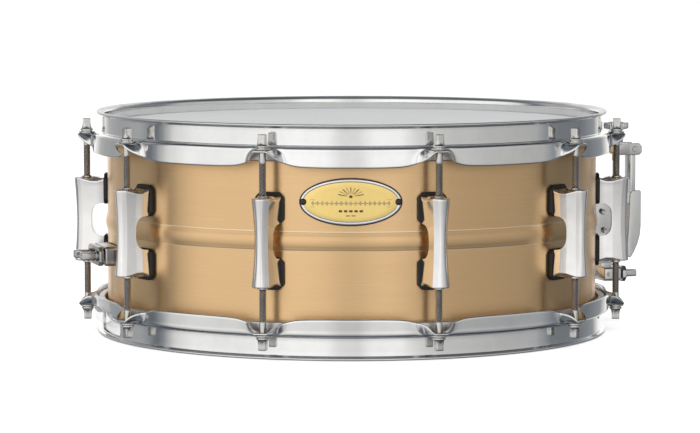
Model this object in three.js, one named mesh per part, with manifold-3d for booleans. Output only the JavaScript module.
// A 14 x 5.5 inch snare drum: brass shell with a centre bead, ten bridge lugs,
// two triple-flanged hoops, twenty tension rods, strainer, butt end and snare wires.
// Millimetres, +Z up. The origin is the centre of the batter head's playing surface.
// Inside the "drum" group heights are counted from the shell's mid-plane.
// Azimuth 0 is the badge side (-Y); azimuths, in degrees, run towards +X.
// Fittings are modelled at local +X: x is radial, y tangential, z up.
import * as THREE from "three";
import { mergeVertices } from "three/addons/utils/BufferGeometryUtils.js";
import { ConvexGeometry } from "three/addons/geometries/ConvexGeometry.js";
import Module from "manifold-3d";

const wasm = await Module();
wasm.setup();

// ---------------------------------------------------------------- shared dimensions
const RING_FACETS = 40; // four to each lug spacing
const LUG_COUNT = 10;
const FIRST_LUG_AZIMUTH = 18;
const LUG_AZIMUTHS = Array.from(
  { length: LUG_COUNT },
  (_, i) => FIRST_LUG_AZIMUTH + (i * 360) / LUG_COUNT,
);
const STRAINER_AZIMUTH = 108;
const BUTT_AZIMUTH = STRAINER_AZIMUTH - 180;

const SHELL_R = 177; // outside radius
const SHELL_HALF = 139.7 / 2; // half of the depth
const BEAD_HEIGHT = 2.0; // how far the centre bead stands out
const FILM_T = 0.5;
const FILM_GAP = 0.15; // between the shell's edge and the film
const HEAD_TOP = SHELL_HALF + FILM_GAP + FILM_T; // playing surface

const EAR_TOP = 62.0; // top of the hoop's ears
const ROD_CIRCLE = 192.3; // radius on which the tension rods stand

const BADGE_Z = 27;
const PAD_R = SHELL_R + 0.3; // inner radius of parts that lie on the shell

// ---------------------------------------------------------------- solids
// A closed mesh's geometry as a solid, turned the right way out.
function solid(geometry) {
  const bare = geometry.clone();
  for (const name of Object.keys(bare.attributes)) {
    if (name !== "position") bare.deleteAttribute(name);
  }
  const merged = mergeVertices(bare, 1e-4);
  const { position } = merged.attributes;
  const corner = (index) => new THREE.Vector3().fromBufferAttribute(position, index);
  const raw = merged.index.array;
  const triangles = [];
  let volume = 0; // six times the signed volume
  for (let i = 0; i < raw.length; i += 3) {
    const [a, b, c] = [raw[i], raw[i + 1], raw[i + 2]];
    if (a === b || b === c || a === c) continue;
    triangles.push([a, b, c]);
    volume += corner(a).dot(corner(b).cross(corner(c)));
  }
  const outward = volume < 0 ? triangles.map(([a, b, c]) => [a, c, b]) : triangles;
  return new wasm.Manifold(
    new wasm.Mesh({
      numProp: 3,
      vertProperties: new Float32Array(position.array),
      triVerts: new Uint32Array(outward.flat()),
    }),
  );
}

function geometryOf(manifold) {
  const mesh = manifold.getMesh();
  const stride = mesh.numProp;
  const points = new Float32Array(mesh.numVert * 3);
  for (let i = 0; i < mesh.numVert; i++) {
    points.set(mesh.vertProperties.subarray(i * stride, i * stride + 3), i * 3);
  }
  const geometry = new THREE.BufferGeometry();
  geometry.setAttribute("position", new THREE.BufferAttribute(points, 3));
  geometry.setIndex(new THREE.BufferAttribute(new Uint32Array(mesh.triVerts), 1));
  geometry.computeVertexNormals();
  return geometry;
}

const join = (first, ...rest) => rest.reduce((a, b) => a.add(b), first);
const cut = (first, ...rest) => rest.reduce((a, b) => a.subtract(b), first);

// Turns a solid made at local +X to its azimuth round the drum.
const turnTo = (manifold, azimuth) => manifold.rotate([0, 0, azimuth - 90]);
const flipped = (manifold) => manifold.rotate([180, 0, 0]);

// Spans are [from, to]; this one is centred on zero.
const both = (half) => [-half, half];
const middle = ([from, to]) => (from + to) / 2;
const length = ([from, to]) => to - from;

// Ring or disc turned about Z from [radius, height] points; bend moves each vertex.
function turned(points, bend = null) {
  const profile = points.map(([r, z]) => new THREE.Vector2(r, z));
  const geometry = new THREE.LatheGeometry(profile, RING_FACETS);
  geometry.rotateX(Math.PI / 2);
  if (bend) {
    const { position } = geometry.attributes;
    for (let i = 0; i < position.count; i++) {
      const moved = bend(new THREE.Vector3().fromBufferAttribute(position, i));
      position.setXYZ(i, moved.x, moved.y, moved.z);
    }
  }
  return solid(geometry);
}

const closed = (points) => [...points, points[0]];
const band = (radii, heights) => turned(closed(rectangle(radii, heights)));

// Cylinders along Z, X and Y.
function post(x, radius, span, facets) {
  const geometry = new THREE.CylinderGeometry(radius, radius, length(span), facets);
  geometry.rotateX(Math.PI / 2);
  geometry.translate(x, 0, middle(span));
  return solid(geometry);
}
function barX([y, z], radius, span, facets) {
  const geometry = new THREE.CylinderGeometry(radius, radius, length(span), facets);
  geometry.rotateZ(Math.PI / 2);
  geometry.translate(middle(span), y, z);
  return solid(geometry);
}
function barY([x, z], radius, span, facets) {
  const geometry = new THREE.CylinderGeometry(radius, radius, length(span), facets);
  geometry.translate(x, middle(span), z);
  return solid(geometry);
}

function block(...spans) {
  const geometry = new THREE.BoxGeometry(...spans.map(length));
  geometry.translate(...spans.map(middle));
  return solid(geometry);
}

const hull = (points) =>
  solid(new ConvexGeometry(points.map(([x, y, z]) => new THREE.Vector3(x, y, z))));

// An outline run over a span; axes are those of the outline's two columns and the run.
function extruded(outline, span, axes) {
  const shape = new THREE.Shape(outline.map(([a, b]) => new THREE.Vector2(a, b)));
  const options = { depth: length(span), bevelEnabled: false };
  const geometry = new THREE.ExtrudeGeometry(shape, options);
  geometry.translate(0, 0, span[0]);
  geometry.applyMatrix4(new THREE.Matrix4().makeBasis(...axes));
  return solid(geometry);
}
const X = new THREE.Vector3(1, 0, 0);
const Y = new THREE.Vector3(0, 1, 0);
const Z = new THREE.Vector3(0, 0, 1);
const alongX = (outline, span) => extruded(outline, span, [Y, Z, X]);
const alongY = (outline, span) => extruded(outline, span, [X, Z, Y]);
const alongZ = (outline, span) => extruded(outline, span, [X, Y, Z]);

// Outlines.
const rectangle = ([a0, a1], [b0, b1]) => [
  [a0, b0],
  [a1, b0],
  [a1, b1],
  [a0, b1],
];
const chamfered = ([a0, a1], [b0, b1], c) => [
  [a0 + c, b0],
  [a1 - c, b0],
  [a1, b0 + c],
  [a1, b1 - c],
  [a1 - c, b1],
  [a0 + c, b1],
  [a0, b1 - c],
  [a0, b0 + c],
];
// Half an outline followed by its mirror image across the second column's axis.
const mirrored = (half) => [...half, ...half.map(([a, b]) => [-a, b]).reverse()];

// A piece between two radii, with the shell's facets, cut to an outline in (y, z).
function pad(outline, radii, azimuth) {
  return band(radii, both(60))
    .rotate([0, 0, 90 - azimuth])
    .intersect(alongX(outline, [150, 200]));
}

// ---------------------------------------------------------------- materials
const plain = (settings) => new THREE.MeshStandardMaterial(settings);
const metal = (settings) => plain({ ...settings, metalness: 1 });
const BRASS = metal({ color: 0xc49a63, roughness: 0.38 });
const CHROME = metal({ color: 0xd8d9dc, roughness: 0.08 });
const STEEL = metal({ color: 0x8f8a84, roughness: 0.3 });
const ALUMINIUM = metal({ color: 0xb9bcbf, roughness: 0.35 });
const GOLD = metal({ color: 0xd9c07a, roughness: 0.35 });
const DARK = metal({ color: 0x3c3733, roughness: 0.45 });
const COATING = plain({ color: 0xe4e5e6, roughness: 0.8 });
const FILM = plain({ color: 0xd5d8da, roughness: 0.25 });
const RUBBER = plain({ color: 0x1c1c1d, roughness: 0.7 });
const STRAP = plain({ color: 0xe9ebec, roughness: 0.4 });

// ---------------------------------------------------------------- scene graph
const root = new THREE.Group();
const drum = new THREE.Group();
drum.position.z = -HEAD_TOP;
root.add(drum);

function add(name, manifold, material, parent = drum) {
  const mesh = new THREE.Mesh(geometryOf(manifold), material);
  mesh.name = name;
  parent.add(mesh);
  return mesh;
}

// A group whose local +X points outwards at the azimuth.
function addStation(azimuth) {
  const station = new THREE.Group();
  station.rotation.z = THREE.MathUtils.degToRad(azimuth - 90);
  drum.add(station);
  return station;
}

// ---------------------------------------------------------------- shell
const SHELL_T = 1.2; // sheet thickness
const BEAD_HALF = 7.4; // half of the bead's height along Z
const SNARE_BED = { depth: 1.6, halfAngle: 24, zone: 8 }; // zone: height of edge it moves
const RIVET = { x: 32.1, hole: 1.6, shank: 1.25, head: 2.1 }; // place, then radii
const RIVET_AZIMUTHS = [-1, 1].map((side) =>
  THREE.MathUtils.radToDeg(Math.asin((side * RIVET.x) / SHELL_R)),
);

// The lower edge rises where the snare wires cross it.
function bendSnareBeds(vertex) {
  if (vertex.z > -SHELL_HALF + SNARE_BED.zone) return vertex;
  const azimuth = THREE.MathUtils.radToDeg(Math.atan2(vertex.x, -vertex.y));
  for (const centre of [STRAINER_AZIMUTH, BUTT_AZIMUTH]) {
    const turn = Math.abs(azimuth - centre) % 360;
    const offset = Math.min(turn, 360 - turn);
    if (offset < SNARE_BED.halfAngle) {
      const wave = 1 + Math.cos((Math.PI * offset) / SNARE_BED.halfAngle);
      vertex.z += (SNARE_BED.depth / 2) * wave;
    }
  }
  return vertex;
}

const rivetHoles = () =>
  RIVET_AZIMUTHS.map((azimuth) =>
    turnTo(barX([0, BADGE_Z], RIVET.hole, [170, 184], 10), azimuth),
  );

function shell() {
  // [radius from the sheet's face, height]
  const bead = [
    [0, -BEAD_HALF],
    [BEAD_HEIGHT * 0.8, -BEAD_HALF * 0.5],
    [BEAD_HEIGHT, 0],
    [BEAD_HEIGHT * 0.8, BEAD_HALF * 0.5],
    [0, BEAD_HALF],
  ];
  const beadAt = (radius) => bead.map(([out, z]) => [radius + out, z]);
  const top = SHELL_HALF;
  // [radius, height]: up the outside, over the inturned edge and down the inside.
  const profile = [
    [SHELL_R, -top + 2.4],
    ...beadAt(SHELL_R),
    [SHELL_R, top - 2.4],
    [SHELL_R - 2.4, top],
    [SHELL_R - 8.6, top - 5.2],
    [SHELL_R - 9.3, top - 6.1],
    [SHELL_R - 2.2, top - 1.8],
    ...beadAt(SHELL_R - SHELL_T).reverse(),
    [SHELL_R - 2.2, -top + 1.8],
    [SHELL_R - 9.3, -top + 6.1],
    [SHELL_R - 8.6, -top + 5.2],
    [SHELL_R - 2.4, -top],
  ];
  return cut(turned(closed(profile), bendSnareBeds), ...rivetHoles());
}
add("shell", shell(), BRASS);

// ---------------------------------------------------------------- heads
const FLESH_RADII = [178.9, 183.9];
const FLESH_HEIGHTS = [54.0, 62.9];
const COLLAR_R = SHELL_R + 0.45; // inside of the film's collar
const COLLAR_FLARE = 0.25; // how much wider it is at its lower end
const COLLAR_END = FLESH_HEIGHTS[0] + 4.2;

function headFilm() {
  return turned([
    [0, HEAD_TOP],
    [SHELL_R - 1.6, HEAD_TOP],
    [COLLAR_R + FILM_T, HEAD_TOP - 2.6],
    [COLLAR_R + FILM_T + COLLAR_FLARE, COLLAR_END],
    [COLLAR_R + COLLAR_FLARE, COLLAR_END],
    [COLLAR_R, HEAD_TOP - 2.9],
    [SHELL_R - 1.9, HEAD_TOP - FILM_T],
    [0, HEAD_TOP - FILM_T],
  ]);
}
const film = headFilm();
const fleshHoop = band(FLESH_RADII, FLESH_HEIGHTS);
add("batter_head", film, COATING);
add("snare_side_head", flipped(film), FILM);
add("batter_flesh_hoop", fleshHoop, ALUMINIUM);
add("snare_side_flesh_hoop", flipped(fleshHoop), ALUMINIUM);

// ---------------------------------------------------------------- hoops
const HOOP = { top: 79.45, lipR: 184.5, wallR: 181.4, skirtR: 187, thickness: 2.0 };
const SHOULDER_Z = 65.35; // where the wall steps out to the skirt
const SKIRT_END = 50.65;
const EAR_R = 199.2; // how far out the ears reach
const EAR_HOLE_R = 3.1;

function hoopRing() {
  const { top, lipR, wallR, skirtR, thickness } = HOOP;
  return turned(
    closed([
      [wallR - thickness, top - 1.4],
      [wallR - 0.6, top],
      [lipR, top],
      [lipR, top - 1.5],
      [wallR, top - 3.4],
      [wallR, SHOULDER_Z],
      [skirtR - 1.4, SHOULDER_Z - 0.4],
      [skirtR, SHOULDER_Z - 2.2],
      [skirtR, SKIRT_END],
      [skirtR - thickness, SKIRT_END],
      [skirtR - thickness, SHOULDER_Z - 2.3],
      [wallR - thickness, SHOULDER_Z - 2.3],
    ]),
  );
}

function hoop() {
  // [y, z]
  const outside = mirrored([
    [-15.5, SKIRT_END],
    [-12, 55.7],
    [-5.35, EAR_TOP],
  ]);
  const inside = mirrored([
    [-12.4, SKIRT_END - 4],
    [-12.4, SKIRT_END + 0.6],
    [-9.9, 54.6],
    [-4.7, EAR_TOP - HOOP.thickness],
  ]);
  // [x, y]
  const plan = [
    [184.6, -16],
    [187.2, -16],
    [196.6, -7.8],
    [EAR_R, -4.2],
    [EAR_R, 4.2],
    [196.6, 7.8],
    [187.2, 16],
    [184.6, 16],
  ];
  const ear = alongX(outside, [184.6, EAR_R + 1]).intersect(
    alongZ(plan, [SKIRT_END - 1, EAR_TOP + 1]),
  );
  const hollow = join(
    alongX(inside, [184.3, EAR_R + 4]),
    post(ROD_CIRCLE, EAR_HOLE_R, [40, 70], 10),
  );
  return LUG_AZIMUTHS.reduce(
    (body, azimuth) => body.add(turnTo(ear, azimuth)).subtract(turnTo(hollow, azimuth)),
    hoopRing(),
  );
}

// The snare-side hoop has two gates that let the straps through.
function gatedHoop(batterHoop) {
  const gate = alongX(chamfered(both(26), [-77.2, -58.5], 3), [176, 189]);
  return cut(
    flipped(batterHoop),
    turnTo(gate, STRAINER_AZIMUTH),
    turnTo(gate, BUTT_AZIMUTH),
  );
}
const batterHoop = hoop();
add("batter_hoop", batterHoop, CHROME);
add("snare_side_hoop", gatedHoop(batterHoop), CHROME);

// ---------------------------------------------------------------- lugs
const LUG_HALF = 30.1; // half of the column's height
const LUG_END = { outerR: 200.0, width: 11.5 };
const LUG_WAIST = { outerR: 198.2, width: 9.2 };
const LUG_CROWN = 1.5; // the outer face stands proud along its middle
const LUG_BRIDGE_R = 188.3; // inner face of the column between the feet
const LUG_FOOT_R = SHELL_R + 2.6;
const LUG_COLLAR = { radius: 3.7, height: 3.2 };
const LUG_BORE_R = 2.9;

function lugSection(z, { outerR, width }) {
  const half = width / 2;
  const flat = half - 1.3;
  return [
    [LUG_BRIDGE_R, -half, z],
    [outerR - 1.8, -half, z],
    [outerR, -flat, z],
    [outerR + LUG_CROWN, 0, z],
    [outerR, flat, z],
    [outerR - 1.8, half, z],
    [LUG_BRIDGE_R, half, z],
  ];
}

// Wide towards the shell, narrowing to the column.
function lugFoot() {
  // [x, half width, z]
  const edges = [
    [LUG_FOOT_R, 8.4, 12.8],
    [LUG_FOOT_R, 8.4, 31.8],
    [LUG_BRIDGE_R + 1, 5.4, LUG_HALF],
    [LUG_BRIDGE_R + 1, 4.8, 8.6],
  ];
  return hull(edges.flatMap(([x, half, z]) => [[x, -half, z], [x, half, z]]));
}

function lug() {
  const waist = lugSection(0, LUG_WAIST);
  const columnTop = hull([...lugSection(LUG_HALF, LUG_END), ...waist]);
  const columnLow = hull([...waist, ...lugSection(-LUG_HALF, LUG_END)]);
  const foot = lugFoot();
  const collarSpan = [LUG_HALF - 2, LUG_HALF + LUG_COLLAR.height];
  const collar = post(ROD_CIRCLE, LUG_COLLAR.radius, collarSpan, 10);
  const bore = post(ROD_CIRCLE, LUG_BORE_R, [11.5, LUG_HALF + 6], 10);
  return cut(
    join(columnTop, columnLow, foot, flipped(foot), collar, flipped(collar)),
    bore,
    flipped(bore),
  );
}

// ---------------------------------------------------------------- tension rods
const ROD = {
  radius: 2.5,
  end: 14.5,
  flangeR: 5.1,
  flangeT: 2.5,
  flareR: 4.4, // the flare joins the flange to the square head
  flareHeight: 2.6,
  headWidth: 5.5, // across flats
  headTop: 73.2,
};

function rod() {
  const seat = EAR_TOP + 0.1; // the flange rests here
  const flangeTop = seat + ROD.flangeT;
  const headLow = flangeTop + ROD.flareHeight;
  const [inner, outer] = both(ROD.headWidth / 2);
  const square = rectangle(
    [ROD_CIRCLE + inner, ROD_CIRCLE + outer],
    [inner, outer],
  );
  const flareFoot = Array.from({ length: 8 }, (_, i) => {
    const angle = ((i + 0.5) / 8) * 2 * Math.PI;
    const x = ROD_CIRCLE + ROD.flareR * Math.cos(angle);
    return [x, ROD.flareR * Math.sin(angle), flangeTop - 0.3];
  });
  return join(
    post(ROD_CIRCLE, ROD.radius, [ROD.end, seat + 1], 10),
    post(ROD_CIRCLE, ROD.flangeR, [seat, flangeTop], 12),
    hull([...flareFoot, ...square.map(([x, y]) => [x, y, headLow])]),
    alongZ(square, [headLow, ROD.headTop]),
  );
}

const lugSolid = lug();
const rodSolid = rod();
LUG_AZIMUTHS.forEach((azimuth, i) => {
  const station = addStation(azimuth);
  const number = String(i + 1).padStart(2, "0");
  add("lug_" + number, lugSolid, CHROME, station);
  add("batter_tension_rod_" + number, rodSolid, STEEL, station);
  const lowRod = add("snare_tension_rod_" + number, rodSolid, STEEL, station);
  lowRod.rotation.x = Math.PI;
});

// ---------------------------------------------------------------- badge
const BADGE = { halfWidth: 35, halfHeight: 16.25, outerR: SHELL_R + 1.35, points: 36 };

function badge() {
  const oval = Array.from({ length: BADGE.points }, (_, i) => {
    const angle = (i / BADGE.points) * 2 * Math.PI;
    const z = BADGE_Z + BADGE.halfHeight * Math.sin(angle);
    return [BADGE.halfWidth * Math.cos(angle), z];
  });
  const ring = band([PAD_R, BADGE.outerR], [BADGE_Z - 20, BADGE_Z + 20]);
  const plate = ring.intersect(turnTo(alongX(oval, [150, 190]), 0));
  return cut(plate, ...rivetHoles());
}

// A shank through the badge and shell with a head at each end.
function badgeRivet(azimuth) {
  const axis = [0, BADGE_Z];
  const rivet = join(
    barX(axis, RIVET.shank, [173.8, 179.2], 10),
    barX(axis, RIVET.head, [BADGE.outerR + 0.35, BADGE.outerR + 1.1], 12),
    barX(axis, RIVET.head, [173.4, 174.5], 12),
  );
  return turnTo(rivet, azimuth);
}
add("badge_rivet_left", badgeRivet(RIVET_AZIMUTHS[0]), DARK);
add("badge_rivet_right", badgeRivet(RIVET_AZIMUTHS[1]), DARK);
add("badge", badge(), GOLD);

// ---------------------------------------------------------------- strap clamps
// On the strainer and the butt end a plate and two screws hold the strap to a face.
const SCREW = { y: 10, shankR: 1.5, headR: 2.8, holeR: 1.9, strapHoleR: 2.2 };
const STRAP_T = 0.45;
const STRAP_HALF_WIDTH = 16;
const STRAP_GAP = 0.25; // between the face and the strap
// face and plate are radial places; shankStart and headEnd are the screws' ends;
// through is a radial span that clears plate and strap.
const STRAINER_CLAMP = {
  screwZ: -45.4,
  face: 204.9,
  plate: [205.9, 209.3],
  through: [200, 212],
  shankStart: 197,
  headEnd: 219,
};
const BUTT_CLAMP = {
  screwZ: -20.5,
  face: 188.4,
  plate: [189.4, 192.6],
  through: [186, 196],
  shankStart: 183.5,
  headEnd: 204.5,
};

const screwHoles = (clamp, radius, span) =>
  [-1, 1].map((side) => barX([side * SCREW.y, clamp.screwZ], radius, span, 12));

const clampPlate = (clamp, outline) =>
  cut(alongX(outline, clamp.plate), ...screwHoles(clamp, SCREW.holeR, clamp.through));

function addClampScrews(prefix, clamp, parent) {
  const plateOuter = clamp.plate[1];
  [-1, 1].forEach((side, i) => {
    const axis = [side * SCREW.y, clamp.screwZ];
    const screw = join(
      barX(axis, SCREW.shankR, [clamp.shankStart, plateOuter + 1], 12),
      barX(axis, SCREW.headR, [plateOuter + 0.1, clamp.headEnd], 14),
    );
    add(`${prefix}_clamp_screw_${i + 1}`, screw, STEEL, parent);
  });
}

// A thin strip through (x, z) points, thickened to the left of its run.
function strap(path, clamp) {
  const side = path.map(([x, z], i) => {
    const before = path[Math.max(0, i - 1)];
    const after = path[Math.min(path.length - 1, i + 1)];
    const [dx, dz] = [after[0] - before[0], after[1] - before[1]];
    const run = Math.hypot(dx, dz);
    return [x - (dz / run) * STRAP_T, z + (dx / run) * STRAP_T];
  });
  return cut(
    alongY([...path, ...side.reverse()], both(STRAP_HALF_WIDTH)),
    ...screwHoles(clamp, SCREW.strapHoleR, clamp.through),
  );
}

// ---------------------------------------------------------------- strainer
const KNOB_AXIS_R = 206.7; // radial place of the tension screw's axis
const PIVOT = [218.2, 46.8]; // lever pin's axis, [x, z]
const GASKET_OUTER_R = PAD_R + 3.6;
const BASE_INNER_R = PAD_R + 3.9;
const BASE_FACE = 184; // outer face of the base's back
const CHEEK_Y = [10.6, 13.6];
const BRIDGE_X = [201, 213.4];
const BASE_TOP = 51;
const NOSE_HALF_WIDTH = 9.2;
const LEVER_HALF_WIDTH = 5.7;
const SLIDER_HALF_WIDTH = 10.2;
const SLIDER_OUTER = 200.6;
const SLIDER_FOOT_INNER = 191.4;
// [y, z]
const STRAINER_OUTLINE = [
  [-12, -36],
  [12, -36],
  [16.5, -31],
  [16.5, 33],
  [12, 38],
  [-12, 38],
  [-16.5, 33],
  [-16.5, -31],
];

// The gasket straddles the shell's bead and has a relief for it.
function strainerGasket() {
  const relief = block([170, SHELL_R + BEAD_HEIGHT + 0.4], both(40), both(9));
  return pad(STRAINER_OUTLINE, [PAD_R, GASKET_OUTER_R], STRAINER_AZIMUTH).subtract(relief);
}

// A back plate, two cheeks, a bridge across their tops and a forked nose for the lever.
function strainerBase() {
  const back = pad(STRAINER_OUTLINE, [BASE_INNER_R, 190], STRAINER_AZIMUTH).subtract(
    block([BASE_FACE, 200], both(30), both(60)),
  );
  // [x, z]; each cheek ends in a narrow column, open between it and the shell.
  const cheek = [
    [181.5, -26],
    [196, -26],
    [201.5, -20],
    [202.5, 8],
    [206, 14],
    [BRIDGE_X[1], 18],
    [BRIDGE_X[1], BASE_TOP],
    [BRIDGE_X[0], BASE_TOP],
    [BRIDGE_X[0], 43.4],
    [208.7, 43.4],
    [208.7, 26],
    [204, 23.2],
    [181.5, 23.2],
  ];
  const nose = [
    [203, 42.3],
    [224, 42.3],
    [224, 49.3],
    [222, BASE_TOP],
    [203, BASE_TOP],
  ];
  const [cheekInner, cheekOuter] = CHEEK_Y;
  const body = join(
    back,
    alongY(cheek, CHEEK_Y),
    alongY(cheek, [-cheekOuter, -cheekInner]),
    alongY(rectangle(BRIDGE_X, [43.5, BASE_TOP]), both(cheekOuter)),
    alongY(nose, both(NOSE_HALF_WIDTH)),
  );
  const leverSlot = block([213.6, 230], both(6.2), [40, 52]);
  const knobHole = post(KNOB_AXIS_R, 2.9, [38, 55], 14);
  const pinHole = barY(PIVOT, 1.75, both(12), 12);
  // Two holes across the cheeks, at [x, z].
  const crossHoles = [
    [191.8, 0.7],
    [193.6, -13.5],
  ].map((axis) => barY(axis, 2.1, both(20), 12));
  return cut(body, leverSlot, knobHole, pinHole, ...crossHoles);
}

// Stands between the cheeks; its foot is the strap clamp's inner half.
function strainerSlider() {
  const { face, screwZ } = STRAINER_CLAMP;
  const footOutline = chamfered(both(17), [-50.6, -40.2], 2);
  const body = join(
    block([184.5, SLIDER_OUTER], both(SLIDER_HALF_WIDTH), [-38, 24]),
    block([199, KNOB_AXIS_R + 4.6], both(7), [4, 24]), // boss round the knob's screw
    alongX(footOutline, [SLIDER_FOOT_INNER, face]),
    block([SLIDER_FOOT_INNER, SLIDER_OUTER], both(SLIDER_HALF_WIDTH), [-42, -37]),
  );
  const sideHoles = [[-20, -13.5], [13.5, 20]].map((span) =>
    barY([195.6, screwZ], 1.7, span, 12),
  );
  return cut(
    body,
    post(KNOB_AXIS_R, 2.95, [0, 30], 14),
    ...screwHoles(STRAINER_CLAMP, SCREW.holeR, [196, 208]),
    ...sideHoles,
  );
}

// Tension knob: head, neck and screw in one piece.
function strainerKnob() {
  return join(
    post(KNOB_AXIS_R, 9.3, [61.8, 66.4], 24),
    post(KNOB_AXIS_R, 5.2, [51.3, 62], 16),
    post(KNOB_AXIS_R, 2.5, [8, 52], 14),
  );
}

// A narrow bar down from the pin, widening to a rounded paddle.
function strainerLever() {
  // [x, z]
  const paddle = [
    [215.5, 13],
    [217.5, 15.6],
    [224.4, 15.6],
    [224.4, -12],
    [223.7, -18],
    [222, -24],
    [219.4, -30],
    [216.4, -34.5],
    [214.8, -34.5],
    [214.4, -26],
    [215.5, -14],
  ];
  const body = join(
    alongY(rectangle([216, 220.4], [14, 47]), both(LEVER_HALF_WIDTH)),
    barY(PIVOT, 3.3, both(LEVER_HALF_WIDTH), 16), // eye round the pin
    alongY(paddle, both(7.2)),
  );
  return cut(body, barY(PIVOT, 1.58, both(12), 12));
}

const leverPin = () => barY(PIVOT, 1.5, both(NOSE_HALF_WIDTH - 0.1), 12);

const strainerClampPlate = () =>
  clampPlate(STRAINER_CLAMP, chamfered(both(17.5), [-51.2, -39.6], 3.2));

// From the clamp, down and in through the hoop's gate to the wires.
function strainerStrap() {
  const top = STRAINER_CLAMP.face + STRAP_GAP;
  // [x, z]
  const path = [
    [top, -39.8],
    [top, -52],
    [192, -66.5],
    [186, -70.6],
    [166, -71.4],
  ];
  return strap(path, STRAINER_CLAMP);
}

const strainer = addStation(STRAINER_AZIMUTH);
add("strainer_gasket", strainerGasket(), RUBBER, strainer);
add("strainer_base", strainerBase(), CHROME, strainer);
add("strainer_slider", strainerSlider(), CHROME, strainer);
add("strainer_knob", strainerKnob(), CHROME, strainer);
add("strainer_lever", strainerLever(), CHROME, strainer);
add("strainer_lever_pin", leverPin(), STEEL, strainer);
add("strainer_clamp_plate", strainerClampPlate(), CHROME, strainer);
addClampScrews("strainer", STRAINER_CLAMP, strainer);
add("strainer_strap", strainerStrap(), STRAP, strainer);

// ---------------------------------------------------------------- butt end
const BUTT_HALF_WIDTH = 17.8;
const BUTT_OUTLINE = chamfered(both(BUTT_HALF_WIDTH), [-27.5, -13.5], 2.5);

const buttGasket = () => pad(BUTT_OUTLINE, [PAD_R, PAD_R + 1.2], BUTT_AZIMUTH);

function buttBase() {
  return cut(
    pad(BUTT_OUTLINE, [PAD_R + 1.5, 196], BUTT_AZIMUTH),
    block([BUTT_CLAMP.face, 210], both(30), both(60)),
    ...screwHoles(BUTT_CLAMP, SCREW.holeR, [182.5, 192]),
  );
}

// The plate has two upright grooves in its outer face.
function buttClampPlate() {
  const outline = chamfered(both(BUTT_HALF_WIDTH), [-27.2, -13.8], 3.0);
  const grooves = [[-2.2, -0.9], [0.9, 2.2]].map((span) =>
    block([BUTT_CLAMP.plate[1] - 1, 195], span, [-26, -15]),
  );
  return cut(clampPlate(BUTT_CLAMP, outline), ...grooves);
}

function buttStrap() {
  const top = BUTT_CLAMP.face + STRAP_GAP;
  // [x, z]
  const path = [
    [top, -13.9],
    [top, -66],
    [186.5, -69.8],
    [183, -70.9],
    [166, -71.4],
  ];
  return strap(path, BUTT_CLAMP);
}

const butt = addStation(BUTT_AZIMUTH);
add("butt_gasket", buttGasket(), RUBBER, butt);
add("butt_base", buttBase(), CHROME, butt);
add("butt_clamp_plate", buttClampPlate(), CHROME, butt);
addClampScrews("butt", BUTT_CLAMP, butt);
add("butt_strap", buttStrap(), STRAP, butt);

// ---------------------------------------------------------------- snare wires
const WIRE = { radius: 1.0, count: 20, halfLength: 153, halfSpread: 20.9 };
const WIRE_Z = -(HEAD_TOP + 0.35 + WIRE.radius);
const END_PLATE = { inner: 149, outer: 165.6, halfWidth: 23, halfT: 0.6 };

function snareWires() {
  const { inner, outer, halfWidth, halfT } = END_PLATE;
  const plates = [[inner, outer], [-outer, -inner]].map((span) =>
    block(span, both(halfWidth), [WIRE_Z - halfT, WIRE_Z + halfT]),
  );
  const pitch = (2 * WIRE.halfSpread) / (WIRE.count - 1);
  const wires = Array.from({ length: WIRE.count }, (_, i) =>
    barX([-WIRE.halfSpread + i * pitch, WIRE_Z], WIRE.radius, both(WIRE.halfLength), 4),
  );
  return join(...plates, ...wires);
}
add("snare_wires", snareWires(), STEEL, addStation(STRAINER_AZIMUTH));

export default root;
